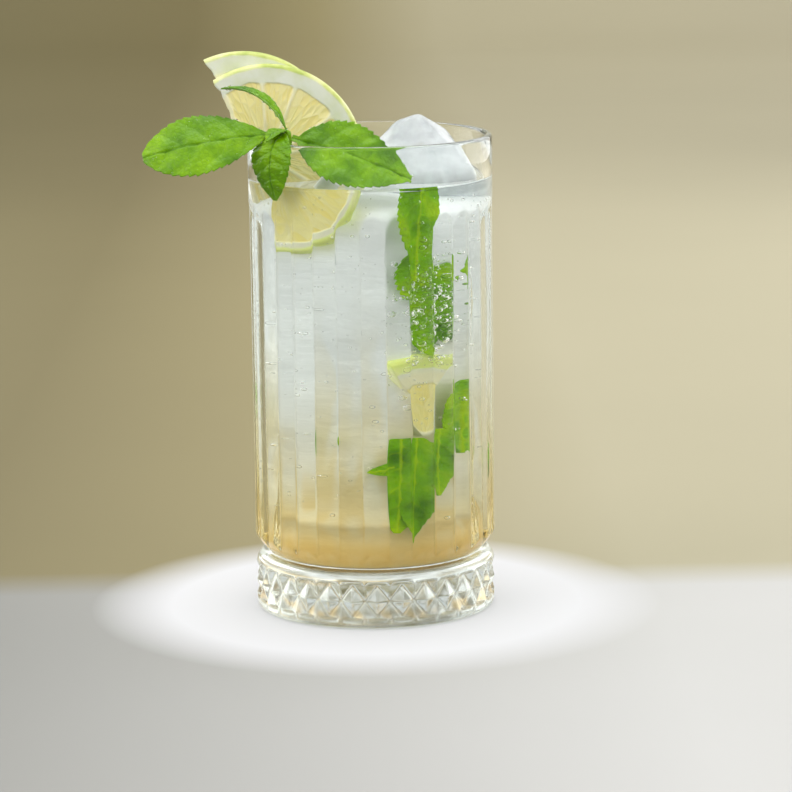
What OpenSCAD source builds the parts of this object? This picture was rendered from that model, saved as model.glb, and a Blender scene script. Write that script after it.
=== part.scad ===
// Tall cocktail in its ribbed pressed glass, with ice, two half wheels of citrus and a sprig of mint.
// Origin at the middle of the glass's underside, +Z up, and the drinker in front at -Y.

/* [Glass] */
// Height of the glass to its lip
glass_h = 151; // [120:1:190]
// Radius of the smooth collar, the widest part
glass_r = 38.6; // [31:0.1:48]
// Wall thickness at the crest of a rib
wall = 4.3; // [3.5:0.1:5.5]
// Wall thickness of the lip
lip_wall = 2.5; // [1.8:0.1:3.2]
// Height of the solid glass under the drink
floor_z = 17.5; // [16:0.5:24]
// Radius of the rounding between the inner wall and the floor
floor_round = 8; // [3:0.5:14]
// Height of the smooth collar under the lip
collar_h = 20.5; // [12:0.5:30]
// Number of ribs, and of diamonds round the foot
ribs = 30; // [20:1:40]
// Radius of a rib's rounded face
rib_round = 5; // [4:0.1:8]

/* [Foot] */
// Height of the plain band that stands on the table
foot_h = 3; // [2:0.5:5]
// Height of the band of diamonds
band_h = 11; // [8:0.5:14]
// Depth of the grooves between the diamonds
diamond_depth = 1.8; // [0.8:0.1:2.4]
// Radius of the shoulder above the diamonds
shoulder_round = 4.1; // [3:0.1:5]
// Depth of the neck between the foot and the ribs
neck_depth = 4; // [3:0.1:5]

/* [Drink] */
// How far the drink stays below the lip
head_space = 13.5; // [8:0.5:30]
// Gap kept between what stands in the glass and its wall
clearance = 0.3; // [0.2:0.05:1]

/* [Citrus] */
// Radius of a citrus wheel
citrus_r = 30.5; // [24:0.5:37]
// Thickness of a slice
citrus_t = 4; // [3:0.25:5]
// Thickness of the peel and pith together
pith = 5.6; // [4:0.1:7]
// Thickness of the skin between two segments
membrane = 0.9; // [0.5:0.1:1.5]
// How deep the juicy segments lie under the cut pith
segment_dip = 0.35; // [0.2:0.05:0.6]

/* [Ice] */
// Width of the piece of ice that stands out of the drink
ice_w = 25; // [18:0.5:30]
// Radius of its melted corners
ice_round = 4.5; // [3:0.25:6]

/* [Mint] */
// Length of the two big leaves
leaf_l = 39; // [30:0.5:48]
// Half width of the two big leaves
leaf_w = 10.8; // [8:0.2:14]
// Thickness of a leaf
leaf_t = 0.5; // [0.4:0.05:0.8]
// Radius of the stem
stem_r = 1.1; // [0.8:0.1:1.6]

/* [Hidden] */

step = 360 / ribs;
rib_r = glass_r - 0.15;              // crest of a rib, just inside the collar
valley_r = rib_valley(rib_r - rib_round);
inner_r = rib_r - wall;              // inner wall beside the ribs
lip_r = glass_r - lip_wall;          // inner wall beside the collar
core_r = valley_r - 0.4;             // smooth wall that the ribs stand on
neck_r = rib_r - neck_depth;
rim_r = rib_r - 0.3;                 // the plain rims below and above the diamonds, just inside their crests
band_top = foot_h + band_h;
neck_z = band_top + shoulder_round + 0.6;
rib_end_z = neck_z + 5.3;            // where a rib reaches its full height
collar_z = glass_h - collar_h;
taper_h = 8;                         // height of the step from inner_r to lip_r
taper_z = collar_z - 4.5;
level = glass_h - head_space;
fade_h = 5.5;                        // height over which the ribs run into the collar
foot_chamfer = 0.8;

function rib_valley(c) = c * cos(step / 2) + sqrt(pow(rib_round, 2) - pow(c * sin(step / 2), 2));

// ---- glass ----

// Half section of the space inside the glass, up to height top
module cavity_section(top) {
    corner = min(floor_round, inner_r / 2);
    translate([0, floor_z]) square([inner_r - corner, corner + 1]);
    intersection() {
        translate([inner_r - corner, floor_z + corner]) circle(r = corner, $fn = 64);
        translate([0, floor_z - 1]) square([inner_r + 1, corner + 1]);
    }
    translate([0, floor_z + corner]) square([inner_r, taper_z - floor_z - corner]);
    polygon([[0, taper_z], [inner_r, taper_z], [lip_r, taper_z + taper_h], [0, taper_z + taper_h]]);
    translate([0, taper_z + taper_h]) square([lip_r, top - taper_z - taper_h]);
}

// Half section of the smooth glass: foot, shoulder, neck, wall, collar and rounded lip
module smooth_section() {
    lip_round = lip_wall / 2;
    difference() {
        union() {
            polygon([[0, 0], [rim_r - foot_chamfer, 0], [rim_r, foot_chamfer], [rim_r, foot_h], [0, foot_h]]);
            square([neck_r, neck_z + 1]);
            intersection() {
                translate([rim_r - shoulder_round, band_top]) circle(r = shoulder_round, $fn = 64);
                translate([0, band_top]) square([glass_r + 1, shoulder_round + 1]);
            }
            translate([0, neck_z + 2]) square([core_r, collar_z - neck_z]);
            translate([0, neck_z]) square([neck_r, 3]);
            polygon([[0, collar_z - fade_h], [core_r, collar_z - fade_h], [glass_r, collar_z], [0, collar_z]]);
            translate([0, collar_z]) square([glass_r, glass_h - lip_round - collar_z]);
        }
        cavity_section(glass_h + 1);
    }
    translate([glass_r - lip_round, glass_h - lip_round]) circle(r = lip_round, $fn = 64);
}

// Plan of the ribs: round bars side by side, joined by a ring
module rib_plan() {
    difference() {
        union() {
            circle(r = core_r, $fn = 120);
            for (i = [0 : ribs - 1])
                rotate(-90 + i * step) translate([rib_r - rib_round, 0]) circle(r = rib_round, $fn = 48);
        }
        circle(r = inner_r + 1, $fn = 120);
    }
}

// The ribs, rounded in to the neck at their lower ends by an arc of radius end_round
module rib_ring() {
    end_round = 12;
    dr = rib_r - neck_r;
    dz = rib_end_z - neck_z;
    half = sqrt(dr * dr + dz * dz) / 2;
    back = sqrt(end_round * end_round - half * half);
    c_r = (rib_r + neck_r) / 2 - back * dz / (2 * half);
    c_z = (rib_end_z + neck_z) / 2 + back * dr / (2 * half);
    intersection() {
        translate([0, 0, neck_z]) linear_extrude(collar_z + 1 - neck_z) rib_plan();
        rotate_extrude($fn = 120) {
            intersection() {
                translate([c_r, c_z]) circle(r = end_round, $fn = 96);
                square([glass_r + 2, c_z]);
            }
            translate([0, c_z]) square([c_r + end_round, glass_h - c_z]);
        }
    }
}

// Band of four-sided pyramids: crests and crossings of the grooves take turns round three rings
module diamond_band() {
    n = 2 * ribs;
    low = rib_r - diamond_depth;
    function ring(z, shift) = [for (i = [0 : n - 1])
        let (r = (i + shift) % 2 == 0 ? rib_r : low, a = -90 + i * step / 2) [r * cos(a), r * sin(a), z]];
    points = concat(ring(foot_h, 1), ring(foot_h + band_h / 2, 0), ring(band_top, 1),
                    [[0, 0, foot_h], [0, 0, band_top]]);
    function next(i) = (i + 1) % n;
    faces = concat(
        [for (i = [0 : n - 1]) [3 * n, i, next(i)]],
        [for (i = [0 : n - 1]) [3 * n + 1, 2 * n + next(i), 2 * n + i]],
        [for (i = [0 : n - 1]) i % 2 == 0 ? [i, n + i, next(i)] : [i, n + i, n + next(i)]],
        [for (i = [0 : n - 1]) i % 2 == 0 ? [next(i), n + i, n + next(i)] : [i, n + next(i), next(i)]],
        [for (i = [0 : n - 1]) i % 2 == 0 ? [n + i, 2 * n + i, 2 * n + next(i)] : [n + i, 2 * n + i, n + next(i)]],
        [for (i = [0 : n - 1]) i % 2 == 0 ? [n + i, 2 * n + next(i), n + next(i)]
                                          : [n + next(i), 2 * n + i, 2 * n + next(i)]]);
    polyhedron(points = points, faces = faces, convexity = 4);
}

module glass() {
    color([0.86, 0.93, 0.90, 0.35]) union() {
        rotate_extrude($fn = 120) smooth_section();
        rib_ring();
        diamond_band();
    }
}

// ---- drink, and what stands in it ----

module drink() {
    color([0.84, 0.87, 0.76, 0.8]) difference() {
        rotate_extrude($fn = 120) intersection() {
            cavity_section(glass_h);
            square([glass_r, level]);
        }
        ice_block();
        citrus_blank(citrus_places[0]);
        citrus_blank(citrus_places[1]);
    }
}

// A lump with melted corners, one of them up: its eight corners in shares of its width
module ice_block() {
    corners = [[-0.28, 0.00, 0.60], [0.40, 0.08, 0.16], [-0.48, -0.12, 0.12], [-0.30, 0.34, 0.12],
               [0.28, 0.36, 0.10], [0.32, -0.26, 0.02], [-0.18, 0.00, -0.42], [0.22, 0.10, -0.40]];
    reach = ice_w - 2 * ice_round;
    translate([lip_r - clearance - 4 - ice_w / 2, ice_w / 3, level + 1])
        hull() for (c = corners) translate(c * reach * 1.3) sphere(r = ice_round, $fn = 16);
}

module ice() {
    color([0.82, 0.84, 0.84, 0.7]) ice_block();
}

// ---- citrus ----

// Each slice: centre, tilt back from upright, turn of its cut side, and how far the cut lies from the centre
citrus_places = [
    [[-lip_r + 3.9, -1, glass_h - 8], 4, 26, -3.5],
    [[-lip_r - 3.6, -1 + citrus_t + clearance, glass_h - 4.3], 4, 32, 4.6],
];

// Everything that the glass takes up, grown by the clearance
module wall_room() {
    low = level - 2 * citrus_r;
    far = 3 * citrus_r + glass_r;
    rotate_extrude($fn = 120)
        polygon([[inner_r - clearance, low], [inner_r - clearance, taper_z], [lip_r - clearance, taper_z + taper_h],
                 [lip_r - clearance, glass_h + clearance], [far, glass_h + clearance], [far, low]]);
}

// A wheel lying flat, with its cut side away from +X, and only what is kept of it
module half_wheel(r, t, cut) {
    edge = min(0.9, t / 4);
    intersection() {
        rotate_extrude($fn = 120)
            polygon([[0, 0], [r - edge, 0], [r, edge], [r, t - edge], [r - edge, t], [0, t]]);
        translate([cut, -r - 1, -1]) cube([2 * r, 2 * r + 2, t + 2]);
    }
}

// Stands a flat slice up in its place
module stand(place) {
    translate(place[0]) rotate([90 - place[1], 0, 0]) rotate(place[2]) translate([0, 0, -citrus_t / 2]) children();
}

module citrus_blank(place) {
    difference() {
        stand(place) half_wheel(citrus_r, citrus_t, place[3]);
        wall_room();
    }
}

// The juicy part of one segment, between two angles, on both faces
module segment(from, to, cut) {
    outer = citrus_r - pith;
    inner = 2.2;
    side = membrane / 2;
    arc_steps = 5;
    a0 = from + asin(side / outer);
    a1 = to - asin(side / outer);
    points = concat([[inner * cos((from + to) / 2), inner * sin((from + to) / 2)]],
                    [for (i = [0 : arc_steps]) let (a = a0 + (a1 - a0) * i / arc_steps)
                        (outer - (i == 0 || i == arc_steps ? 1.2 : 0)) * [cos(a), sin(a)]]);
    for (z = [-segment_dip, citrus_t - segment_dip])
        intersection() {
            translate([0, 0, z]) linear_extrude(2 * segment_dip) polygon(points);
            translate([cut + membrane, -citrus_r, -1]) cube([2 * citrus_r, 2 * citrus_r, citrus_t + 2]);
        }
}

module citrus(place, first, spans) {
    edges = [for (i = 0, a = first; i <= len(spans); a = a + (i < len(spans) ? spans[i] : 0), i = i + 1) a];
    difference() {
        citrus_blank(place);
        stand(place) for (i = [0 : len(spans) - 1]) segment(edges[i], edges[i + 1], place[3]);
    }
}

module citrus_front() {
    color([0.90, 0.83, 0.50]) citrus(citrus_places[0], -92, [38, 34, 38, 24, 25, 36]);
}

module citrus_back() {
    color([0.90, 0.85, 0.58]) citrus(citrus_places[1], -88, [36, 40, 32, 36, 36]);
}

// ---- mint ----

knot = [-0.708 * lip_r, -0.611 * lip_r, glass_h + 3];   // where the leaves meet on the stem
across = [-0.757, -0.653, 0];                           // outward over the lip, from the knot

function unit(v) = v / norm(v);

// Half width of a leaf at share s of its length: a narrow neck, then a blade with forward pointing teeth
function leaf_half(s, half, teeth, neck) =
    let (blade = max(0, s - neck) / (1 - neck))
    half * max(0.1, pow(sin(180 * pow(blade, 0.8)), 0.75)) * (1 - 0.07 * (teeth * s - floor(teeth * s)));

// Point of a leaf: along its length, arched along its face normal, and folded up from its midrib.
// An early below 1 brings the top of the arch nearer to the stem.
function leaf_point(s, t, from, to, face, half, arch, fold, teeth, neck, early) =
    let (w = leaf_half(s, half, teeth, neck), side = unit(cross(face, to - from)), u = pow(s, early))
    from + (to - from) * s + face * (4 * u * (1 - u) * arch + fold * w * abs(t)) + side * w * t;

// A leaf of even thickness: a grid of points for its face, and the same moved back for its underside
module leaf(from, to, toward, half, arch, fold, neck, teeth = 8, early = 1) {
    rows = 2 * teeth;
    cols = 4;
    along = unit(to - from);
    face = unit(toward - along * (toward * along));
    n = (rows + 1) * (cols + 1);
    top = [for (i = [0 : rows], j = [0 : cols])
        leaf_point(0.02 + 0.97 * i / rows, 2 * j / cols - 1,
                   from, to, face, half, arch, fold, teeth, neck, early)];
    points = concat(top, [for (p = top) p - face * leaf_t]);
    function at(i, j) = i * (cols + 1) + j;
    faces = concat(
        [for (i = [0 : rows - 1], j = [0 : cols - 1]) each [
            [at(i, j), at(i, j + 1), at(i + 1, j + 1)], [at(i, j), at(i + 1, j + 1), at(i + 1, j)],
            [n + at(i, j), n + at(i + 1, j + 1), n + at(i, j + 1)],
            [n + at(i, j), n + at(i + 1, j), n + at(i + 1, j + 1)]]],
        [for (i = [0 : rows - 1]) each [
            [at(i, 0), at(i + 1, 0), n + at(i + 1, 0)], [at(i, 0), n + at(i + 1, 0), n + at(i, 0)],
            [at(i + 1, cols), at(i, cols), n + at(i, cols)],
            [at(i + 1, cols), n + at(i, cols), n + at(i + 1, cols)]]],
        [for (j = [0 : cols - 1]) each [
            [at(0, j + 1), at(0, j), n + at(0, j)], [at(0, j + 1), n + at(0, j), n + at(0, j + 1)],
            [at(rows, j), at(rows, j + 1), n + at(rows, j + 1)],
            [at(rows, j), n + at(rows, j + 1), n + at(rows, j)]]]);
    polyhedron(points = points, faces = faces, convexity = 4);
}

// The stem, from just above the drink to a little over the knot, with a slight bend
module stem() {
    pieces = 9;
    low = level + clearance + stem_r;
    function spot(s) = [knot[0] + 1.5 * (1 - s), knot[1] + 2.5 * (1 - s) * (1 - s), low + (knot[2] + 1.5 - low) * s];
    for (i = [0 : pieces - 1])
        hull() {
            translate(spot(i / pieces)) sphere(r = stem_r, $fn = 10);
            translate(spot((i + 1) / pieces)) sphere(r = stem_r, $fn = 10);
        }
}

module mint_sprig() {
    over = glass_r + 1;               // reach of what hangs outside the wall
    color([0.30, 0.52, 0.10]) union() {
        stem();
        // the big leaf inside the lip
        leaf(knot + [0.6, 0.2, -1.2], [knot[0] + leaf_l * 0.98, knot[1] - 1.5, level + 3.6], [0.1, -0.82, 0.55],
             leaf_w, 1.2, 0.10, 0.06);
        // the big leaf out over the lip
        leaf(knot, knot + across * 0.2 * leaf_l + [-leaf_l, 0, -6.5], [-0.1, -0.80, 0.60],
             leaf_w, 3, -0.06, 0.13);
        // the small leaf that hangs down outside
        leaf(knot + [0, 0, 0.3], over * across + [0.5, 0, level - 4], across + [0, 0, 0.25],
             6.6, 6.5, -0.05, 0.02, 6, 0.7);
        // the narrow leaf that arches up, and the bud leaf over the knot
        leaf(knot + [0, 0.5, 0.6], knot + [-20.5, 7, 13.5], [0.35, -0.30, 0.85], 3.6, 5, 0.35, 0.05, 6);
        leaf(knot + [-0.5, -0.5, 1.2], knot + [-6.4, -6.6, -1.6], [-0.35, -0.45, 0.82], 3.1, 1.4, 0.05, 0.02, 4);
    }
}

glass();
drink();
ice();
citrus_front();
citrus_back();
mint_sprig();
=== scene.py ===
# A tall iced mint and citrus drink in its ribbed glass: the looks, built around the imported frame.
import math

import bpy
import numpy as np
from mathutils import Matrix, Vector


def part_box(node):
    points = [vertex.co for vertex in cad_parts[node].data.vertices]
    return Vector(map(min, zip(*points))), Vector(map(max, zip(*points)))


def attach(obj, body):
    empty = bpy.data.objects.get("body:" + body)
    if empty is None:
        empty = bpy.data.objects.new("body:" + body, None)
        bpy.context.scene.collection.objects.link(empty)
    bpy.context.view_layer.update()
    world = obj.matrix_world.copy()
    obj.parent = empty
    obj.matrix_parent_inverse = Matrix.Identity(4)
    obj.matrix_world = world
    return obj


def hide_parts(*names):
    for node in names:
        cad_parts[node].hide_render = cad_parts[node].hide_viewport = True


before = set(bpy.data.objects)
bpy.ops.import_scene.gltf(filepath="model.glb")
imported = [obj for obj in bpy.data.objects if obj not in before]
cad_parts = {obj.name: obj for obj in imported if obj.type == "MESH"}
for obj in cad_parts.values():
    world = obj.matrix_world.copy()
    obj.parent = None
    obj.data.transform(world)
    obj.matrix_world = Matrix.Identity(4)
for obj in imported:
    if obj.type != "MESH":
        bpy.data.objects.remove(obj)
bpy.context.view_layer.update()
mm = 0.001
rng = np.random.default_rng(11)

# the few sizes that everything else is worked out from, in mm
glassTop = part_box("glass")[1] / mm
drinkLow, drinkTop = (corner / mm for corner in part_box("drink"))
glassH = glassTop.z
glassR = glassTop.x
level = drinkTop.z
floorZ = drinkLow.z
lipR = drinkTop.x


# mesh helpers

# Quads of a grid whose points run row by row; wrap joins the last column to the first.
def gridFaces(rows, cols, wrap=False):
    i = np.arange(rows - 1)[:, None]
    j = np.arange(cols if wrap else cols - 1)[None, :]
    k = (j + 1) % cols
    return np.stack([i * cols + j, i * cols + k, (i + 1) * cols + k, (i + 1) * cols + j], -1).reshape(-1, 4)


# Puts several (points, quads, attribute columns) together into one of each.
def joinParts(parts):
    start = np.cumsum([0] + [len(p[0]) for p in parts])
    points = np.concatenate([p[0] for p in parts])
    faces = np.concatenate([p[1] + s for p, s in zip(parts, start)])
    names = parts[0][2].keys()
    return points, faces, {n: np.concatenate([p[2][n] for p in parts]) for n in names}


# Makes a mesh piece from points in mm and quads; a quad with a repeated corner becomes a triangle.
def addPiece(name, points, faces, material, attributes=None, replaces=()):
    mesh = bpy.data.meshes.new(name)
    quads = np.asarray(faces, np.int32)
    same = quads == np.roll(quads, -1, axis=1)
    keep = ~same
    counts = keep.sum(1)
    loops = quads[keep]
    starts = np.concatenate([[0], np.cumsum(counts)[:-1]])
    mesh.vertices.add(len(points))
    mesh.vertices.foreach_set("co", (np.asarray(points) * mm).astype(np.float32).ravel())
    mesh.loops.add(len(loops))
    mesh.loops.foreach_set("vertex_index", loops.astype(np.int32))
    mesh.polygons.add(len(counts))
    mesh.polygons.foreach_set("loop_start", starts.astype(np.int32))
    mesh.update(calc_edges=True)
    mesh.polygons.foreach_set("use_smooth", np.ones(len(counts), bool))
    for key, values in (attributes or {}).items():
        layer = mesh.attributes.new(key, "FLOAT", "POINT")
        layer.data.foreach_set("value", np.asarray(values, np.float32).ravel())
    mesh.validate()
    piece = bpy.data.objects.new(name, mesh)
    bpy.context.scene.collection.objects.link(piece)
    mesh.materials.append(material)
    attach(piece, "root")
    if replaces:
        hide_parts(*replaces)
    return piece


# Surface of revolution: r (rows, or rows by cols) and z by row, closed on the axis where r is 0.
def lathe(r, z, cols):
    r = np.asarray(r, float)
    if r.ndim == 1:
        r = np.repeat(r[:, None], cols, 1)
    z = np.broadcast_to(np.asarray(z, float).reshape(len(r), -1), r.shape)
    angle = -np.pi / 2 + 2 * np.pi * np.arange(cols) / cols
    points = np.stack([r * np.cos(angle), r * np.sin(angle), z], -1).reshape(-1, 3)
    faces = gridFaces(len(r), cols, wrap=True)
    for row in (0, len(r) - 1):
        if np.all(r[row] < 1e-6):
            pole = row * cols
            faces = np.where((faces >= pole) & (faces < pole + cols), pole, faces)
    return points, faces


# Leaves out the points that no face uses.
def dropUnused(points, faces, attributes=None):
    used, faces = np.unique(faces, return_inverse=True)
    kept = {n: v[used] for n, v in (attributes or {}).items()}
    return points[used], faces.reshape(-1, 4), kept


# Smooth noise at points p: a sum of sines along random directions, about -1 to 1.
def bumps(p, scale, seed, octaves=3):
    r = np.random.default_rng(seed)
    total = np.zeros(p.shape[:-1])
    for octave in range(octaves):
        for _ in range(5):
            way = r.normal(size=3)
            way *= 2 ** octave / scale / np.linalg.norm(way)
            total += np.sin(2 * np.pi * (p @ way) + r.uniform(0, 2 * np.pi)) / 2 ** octave
    return total / (5 * 0.6 * (2 - 0.5 ** (octaves - 1)))


# Share of the way from low to high, eased at both ends.
def smooth(x, low, high):
    t = np.clip((x - low) / (high - low), 0, 1)
    return t * t * (3 - 2 * t)


# material helpers

def newMaterial(name):
    mat = bpy.data.materials.new(name)
    mat.use_nodes = True
    mat.node_tree.nodes.clear()
    return mat, mat.node_tree


# Adds a node; inputs are numbers or colours to set, or sockets to link, by name with _ for spaces.
def addNode(tree, kind, settings=None, **inputs):
    node = tree.nodes.new(kind)
    for key, value in (settings or {}).items():
        setattr(node, key, value)
    for key, value in inputs.items():
        name = key.replace("_", " ")
        socket = node.inputs[int(key[1:])] if key[0] == "i" and key[1:].isdigit() else node.inputs[name]
        if isinstance(value, bpy.types.NodeSocket):
            tree.links.new(value, socket)
        else:
            socket.default_value = value
    return node


def rampNode(tree, fac, stops):
    node = tree.nodes.new("ShaderNodeValToRGB")
    elements = node.color_ramp.elements
    while len(elements) < len(stops):
        elements.new(0.5)
    for element, (place, colour) in zip(elements, stops):
        element.position = place
        element.color = (*colour, 1)
    tree.links.new(fac, node.inputs[0])
    return node.outputs[0]


# Object coordinates, in metres, as x, y and z sockets and the vector.
def objectPlace(tree):
    vector = addNode(tree, "ShaderNodeTexCoord").outputs["Object"]
    split = addNode(tree, "ShaderNodeSeparateXYZ", Vector=vector)
    return vector, split.outputs


def mapRange(tree, value, low, high, toLow=0.0, toHigh=1.0):
    return addNode(tree, "ShaderNodeMapRange", Value=value, From_Min=low, From_Max=high,
                   To_Min=toLow, To_Max=toHigh).outputs[0]


def mixColour(tree, fac, a, b, blend="MIX"):
    return addNode(tree, "ShaderNodeMix", {"data_type": "RGBA", "blend_type": blend},
                   i0=fac, i6=a, i7=b).outputs[2]


# Output; with lampsPass, light reaches through the surface without caustics.
def finishMaterial(tree, shader, lampsPass=None):
    out = addNode(tree, "ShaderNodeOutputMaterial")
    if lampsPass:
        shadow = addNode(tree, "ShaderNodeLightPath").outputs["Is Shadow Ray"]
        clear = addNode(tree, "ShaderNodeBsdfTransparent", Color=lampsPass)
        shader = addNode(tree, "ShaderNodeMixShader", i0=shadow, i1=shader, i2=clear.outputs[0]).outputs[0]
    tree.links.new(shader, out.inputs["Surface"])


# camera, floor, room and light

view = {"distance": 1052, "height": 267.6, "turn": -0.6, "pitch": 10.81, "yaw": 0.395, "roll": -0.767,
        "lens": 152.2}
roomShape = {"radius": 2600, "height": 900, "disc": 66, "blend": 26, "near": 14, "far": 44,
             "plain": 150}
# Floor and backdrop colours from left to right: painted light, dark on the left and light on the right.
backdropPaintedLightStops = [(0.0, (0.175, 0.155, 0.085)), (0.34, (0.175, 0.15, 0.075)), (0.47, (0.27, 0.235, 0.125)),
                 (0.60, (0.385, 0.355, 0.245)), (1.0, (0.40, 0.372, 0.272))]
floorPaintedLightStops = [(0.0, (0.20, 0.20, 0.19)), (0.36, (0.25, 0.25, 0.235)), (0.60, (0.50, 0.50, 0.49)),
              (1.0, (0.52, 0.51, 0.49))]
discColour = (0.64, 0.645, 0.67)


def makeCamera():
    turn = math.radians(view["turn"])
    place = Vector((math.sin(turn), -math.cos(turn), 0)) * view["distance"] + Vector((0, 0, view["height"]))
    camera = bpy.data.cameras.new("camera")
    camera.lens = view["lens"]
    camera.sensor_width = 36
    camera.clip_start = 0.01
    holder = bpy.data.objects.new("camera", camera)
    bpy.context.scene.collection.objects.link(holder)
    aim = (Matrix.Rotation(turn - math.radians(view["yaw"]), 4, "Z")
           @ Matrix.Rotation(math.radians(90 - view["pitch"]), 4, "X")
           @ Matrix.Rotation(math.radians(view["roll"]), 4, "Z"))
    holder.matrix_world = Matrix.Translation(place * mm) @ aim
    bpy.context.scene.camera = holder


# Pale floor, palest under the glass, and a warm backdrop; both carry painted light: darker on the left,
# lighter on the right, and lighter further back.
def roomMaterial():
    mat, tree = newMaterial("roomPaint")
    vector, xyz = objectPlace(tree)
    # painted light: colour darker on the left and lighter on the right, and lighter further back where less
    # lamp light reaches
    side = mapRange(tree, xyz[0], -0.45, 0.45)
    far = mapRange(tree, xyz[1], 0.3, 2.4, 1.0, 1.45)
    backdrop = addNode(tree, "ShaderNodeVectorMath", {"operation": "SCALE"},
                       i0=rampNode(tree, side, backdropPaintedLightStops), Scale=far).outputs[0]
    flat = addNode(tree, "ShaderNodeVectorMath", {"operation": "MULTIPLY"}, i0=vector, i1=(1, 1, 0))
    reach = addNode(tree, "ShaderNodeVectorMath", {"operation": "LENGTH"},
                    i0=flat.outputs[0]).outputs["Value"]
    wide = addNode(tree, "ShaderNodeMath", {"operation": "ABSOLUTE"}, i0=xyz[0]).outputs[0]
    spread = mapRange(tree, wide, roomShape["plain"] * mm, roomShape["radius"] * mm,
                      roomShape["far"] * mm, 1.5)
    behind = addNode(tree, "ShaderNodeMapRange", Value=xyz[1], From_Min=roomShape["near"] * mm,
                     From_Max=spread).outputs[0]
    ground = mixColour(tree, behind, rampNode(tree, side, floorPaintedLightStops), backdrop)
    away = mapRange(tree, reach, roomShape["disc"] * mm, (roomShape["disc"] + roomShape["blend"]) * mm)
    colour = mixColour(tree, away, (*discColour, 1), ground)
    grain = addNode(tree, "ShaderNodeTexNoise", Vector=vector, Scale=3.0, Detail=4.0).outputs[0]
    shade = mapRange(tree, grain, 0.3, 0.7, 0.98, 1.02)
    toned = addNode(tree, "ShaderNodeVectorMath", {"operation": "SCALE"}, i0=colour, Scale=shade).outputs[0]
    paint = addNode(tree, "ShaderNodeBsdfPrincipled", Base_Color=toned, Roughness=0.7, Specular_IOR_Level=0.2)
    finishMaterial(tree, paint.outputs[0])
    return mat


# Floor and round wall in one sweep: flat, then a quarter circle, then straight up.
def makeRoom():
    bend = 500
    arc = np.linspace(0, np.pi / 2, 13)
    r = np.concatenate([[0, 40, 90, 200, 600, 1200], roomShape["radius"] - bend + bend * np.sin(arc),
                        [roomShape["radius"]]])
    z = np.concatenate([np.zeros(6), bend - bend * np.cos(arc), [roomShape["height"]]])
    points, faces = lathe(r, z - 0.5, 96)
    points, faces, _ = dropUnused(points, faces[:, ::-1])
    mesh = bpy.data.meshes.new("room")
    mesh.from_pydata((points * mm).tolist(), [], [list(dict.fromkeys(f)) for f in faces.tolist()])
    mesh.polygons.foreach_set("use_smooth", np.ones(len(mesh.polygons), bool))
    mesh.materials.append(roomMaterial())
    room = bpy.data.objects.new("room", mesh)
    bpy.context.scene.collection.objects.link(room)


def addLamp(name, place, target, size, power, colour=(1, 1, 1)):
    lamp = bpy.data.lights.new(name, "AREA")
    lamp.shape = "RECTANGLE"
    lamp.size, lamp.size_y = size
    lamp.energy = power
    lamp.color = colour
    holder = bpy.data.objects.new(name, lamp)
    bpy.context.scene.collection.objects.link(holder)
    aim = (Vector(target) - Vector(place)).to_track_quat("-Z", "Y").to_matrix().to_4x4()
    holder.matrix_world = Matrix.Translation(Vector(place)) @ aim
    holder.visible_camera = False


def makeLight():
    bpy.context.scene.view_settings.view_transform = "Standard"
    world = bpy.data.worlds.new("sky")
    world.use_nodes = True
    sky = world.node_tree.nodes["Background"]
    sky.inputs[0].default_value = (1.0, 0.99, 0.97, 1)
    sky.inputs[1].default_value = 1.1
    bpy.context.scene.world = world
    middle = (0, 0, 0.09)
    addLamp("windowLeft", (-0.75, -0.45, 0.6), middle, (0.6, 0.8), 3.0)
    addLamp("windowRight", (0.65, -0.65, 0.5), middle, (0.6, 0.8), 1.7)
    addLamp("overhead", (0.0, 0.1, 1.1), middle, (0.8, 0.8), 3.2)
    addLamp("sideLeft", (-0.75, 0.55, 0.36), (0, 0, 0.1), (1.0, 0.7), 3.4)
    addLamp("sideRight", (0.75, 0.55, 0.36), (0, 0, 0.1), (1.0, 0.7), 3.6)
    cycles = bpy.context.scene.cycles
    cycles.max_bounces = 24
    cycles.transmission_bounces = 24
    cycles.glossy_bounces = 8
    cycles.transparent_max_bounces = 24


# glass

glassShape = {"ribs": 30, "ribRound": 5.0, "wall": 4.3, "lipWall": 2.5, "floorRound": 8.0, "collar": 20.5,
              "foot": 3.0, "band": 11.0, "diamondDepth": 1.8, "shoulder": 4.1, "neck": 4.0,
              "ribColumns": 20, "soften": 0.985}
ribR = glassR - 0.15
innerR = ribR - glassShape["wall"]
neckR = ribR - glassShape["neck"]
bandTop = glassShape["foot"] + glassShape["band"]
neckZ = bandTop + glassShape["shoulder"] + 0.6
ribEndZ = neckZ + 5.3
collarZ = glassH - glassShape["collar"]
taperZ = collarZ - 4.5
taperH = 8


# Inside radius at height z: the wall's own below, the lip's above, eased from one to the other.
def wallR(z):
    return innerR + (lipR - innerR) * smooth(z, taperZ - 5, taperZ + taperH + 5)


# Inside of the glass from the axis out and up to a height: floor, corner arc, wall and taper.
def innerProfile(top, gap=0.0):
    corner = glassShape["floorRound"]
    arc = np.linspace(0, np.pi / 2, 12)
    upper = np.concatenate([[60], np.linspace(taperZ - 5, taperZ + taperH + 3, 14), [top]])
    r = np.concatenate([[0, 8, 18], innerR - corner + corner * np.sin(arc), wallR(upper)])
    z = np.concatenate([[floorZ] * 3, floorZ + corner - corner * np.cos(arc), upper])
    r[1:] -= gap
    z[:15] += gap
    return r, z


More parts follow.
